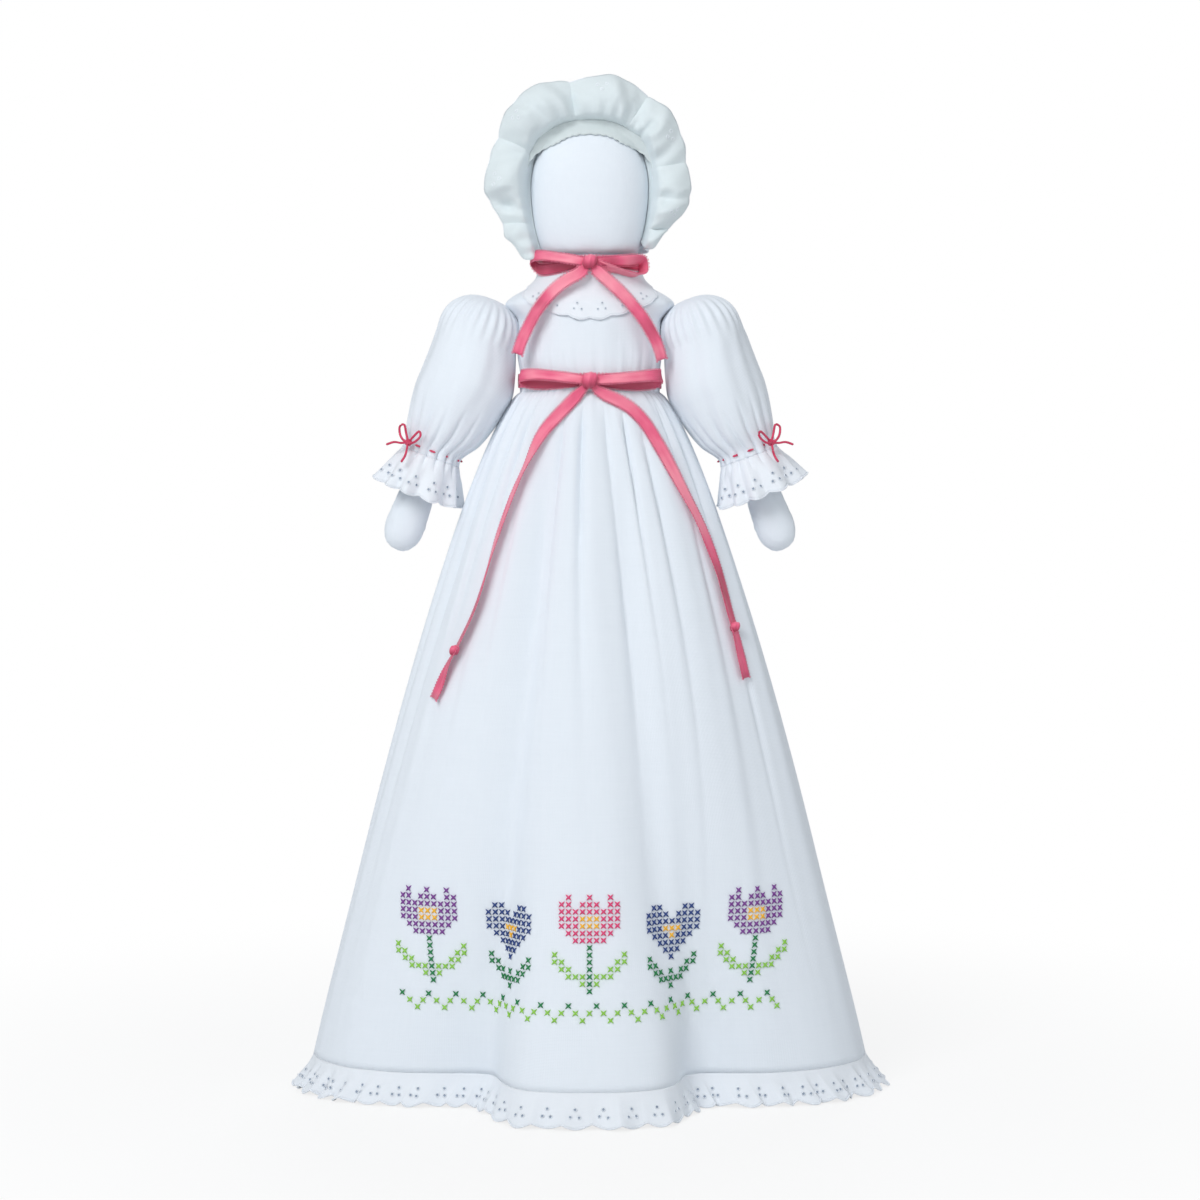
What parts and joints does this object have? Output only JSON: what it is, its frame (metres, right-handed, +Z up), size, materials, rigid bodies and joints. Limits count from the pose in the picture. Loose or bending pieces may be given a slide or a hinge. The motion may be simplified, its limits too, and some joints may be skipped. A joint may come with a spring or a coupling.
{
  "type": "pillowcase doll",
  "caption": "Faceless stuffed cloth doll standing on the hem of a white pillowcase gown, with puffed sleeves, eyelet ruffles, ribbon bows, cross-stitch border and a slip-off ruffled bonnet.",
  "frame": {"origin": "centre of the hem ruffle on the floor", "axes": "+Z up, the doll faces -Y, +X on the viewer's right"},
  "size_m": [0.274, 0.184, 0.4583],
  "materials": {
    "white_cotton": "matte plain-weave cotton",
    "eyelet_lace": "matte cotton eyelet lace",
    "muslin": "matte muslin",
    "stuffing": "soft polyester fibre",
    "satin_ribbon": "satin sheen",
    "thread": "soft twisted cotton thread"
  },
  "bodies": {
    "torso": {"torso_cover": "muslin", "torso_stuffing": "stuffing", "torso_base": "muslin", "bodice": "white_cotton", "skirt": "white_cotton", "hem_ruffle": "eyelet_lace", "collar_ruffle": "eyelet_lace", "waist_ribbon": "satin_ribbon", "waist_bow_loop_left": "satin_ribbon", "waist_bow_loop_right": "satin_ribbon", "waist_knot": "satin_ribbon", "neck_ribbon": "satin_ribbon", "neck_bow_loop_left": "satin_ribbon", "neck_bow_loop_right": "satin_ribbon", "neck_knot": "satin_ribbon", "waist_tail_left": "satin_ribbon", "waist_tail_right": "satin_ribbon", "neck_tail_left": "satin_ribbon", "neck_tail_right": "satin_ribbon"},
    "neck": {"neck": "muslin"},
    "head": {"head_cover": "white_cotton", "head_stuffing": "stuffing"},
    "bonnet": {"bonnet_crown": "white_cotton", "bonnet_band": "white_cotton", "bonnet_ruffle": "eyelet_lace"},
    "shoulder_left": {"shoulder_tab_left": "muslin"},
    "arm_left": {"arm_cover_left": "white_cotton", "arm_stuffing_left": "stuffing", "sleeve_left": "white_cotton", "cuff_ruffle_left": "eyelet_lace", "cuff_thread_left": "thread", "cuff_bow_left": "thread"},
    "shoulder_right": {"shoulder_tab_right": "muslin"},
    "arm_right": {"arm_cover_right": "white_cotton", "arm_stuffing_right": "stuffing", "sleeve_right": "white_cotton", "cuff_ruffle_right": "eyelet_lace", "cuff_thread_right": "thread", "cuff_bow_right": "thread"}
  },
  "joints": [
    {"name": "head_nod", "type": "hinge", "parent": "torso", "child": "neck", "pos_m": [0, 0, 0.383], "axis": [1, 0, 0], "range_deg": [-8, 8]},
    {"name": "head_turn", "type": "hinge", "parent": "neck", "child": "head", "pos_m": [0, 0, 0.381], "axis": [0, 0, 1], "range_deg": [-20, 20]},
    {"name": "bonnet_lift", "type": "slide", "parent": "head", "child": "bonnet", "axis": [0, 0.6, 0.8], "range_m": [0, 0.09]},
    {"name": "arm_swing_left", "type": "hinge", "parent": "torso", "child": "shoulder_left", "pos_m": [-0.0522, 0, 0.3423], "axis": [-1, 0, 0], "range_deg": [-40, 90]},
    {"name": "arm_lift_left", "type": "hinge", "parent": "shoulder_left", "child": "arm_left", "pos_m": [-0.0522, 0, 0.3423], "axis": [0, 1, 0], "range_deg": [0, 50]},
    {"name": "arm_swing_right", "type": "hinge", "parent": "torso", "child": "shoulder_right", "pos_m": [0.0522, 0, 0.3423], "axis": [-1, 0, 0], "range_deg": [-40, 90]},
    {"name": "arm_lift_right", "type": "hinge", "parent": "shoulder_right", "child": "arm_right", "pos_m": [0.0522, 0, 0.3423], "axis": [0, -1, 0], "range_deg": [0, 50]}
  ]
}
